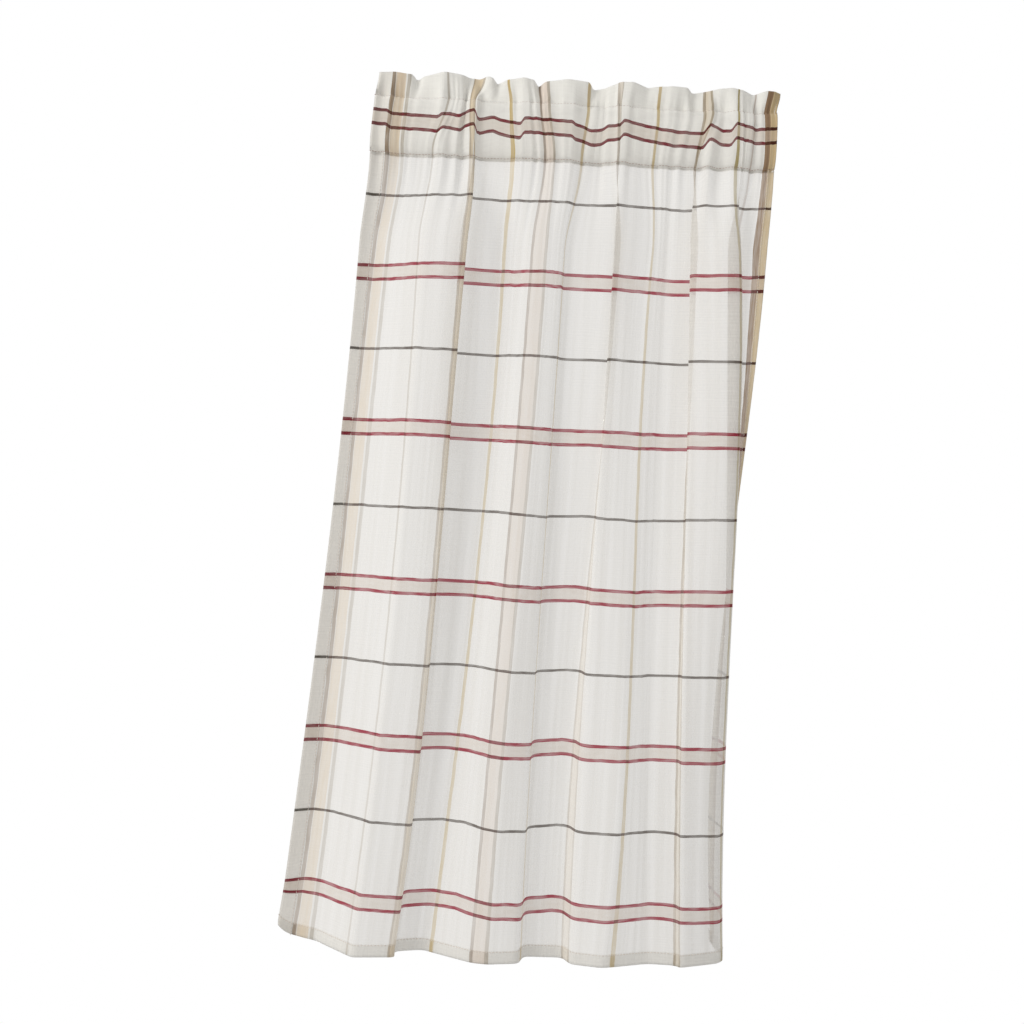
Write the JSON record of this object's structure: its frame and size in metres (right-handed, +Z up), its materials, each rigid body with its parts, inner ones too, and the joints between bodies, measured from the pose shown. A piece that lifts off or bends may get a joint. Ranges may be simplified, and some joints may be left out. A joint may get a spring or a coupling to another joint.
{
  "type": "cafe curtain",
  "caption": "Semi-sheer striped cafe curtain, gathered on a stitched rod pocket with a standing frill, hanging in soft uneven folds.",
  "frame": {"origin": "on the axis of the rod pocket, halfway along it", "axes": "+Z up, +X along the rod pocket to the right as seen from the front, -Y towards the viewer in front of the curtain"},
  "size_m": [0.4845, 0.1174, 0.909],
  "materials": {
    "heading_cloth": "matte",
    "panel_cloth": "matte"
  },
  "bodies": {
    "root": {"heading": "heading_cloth", "panel": "panel_cloth"}
  },
  "joints": []
}
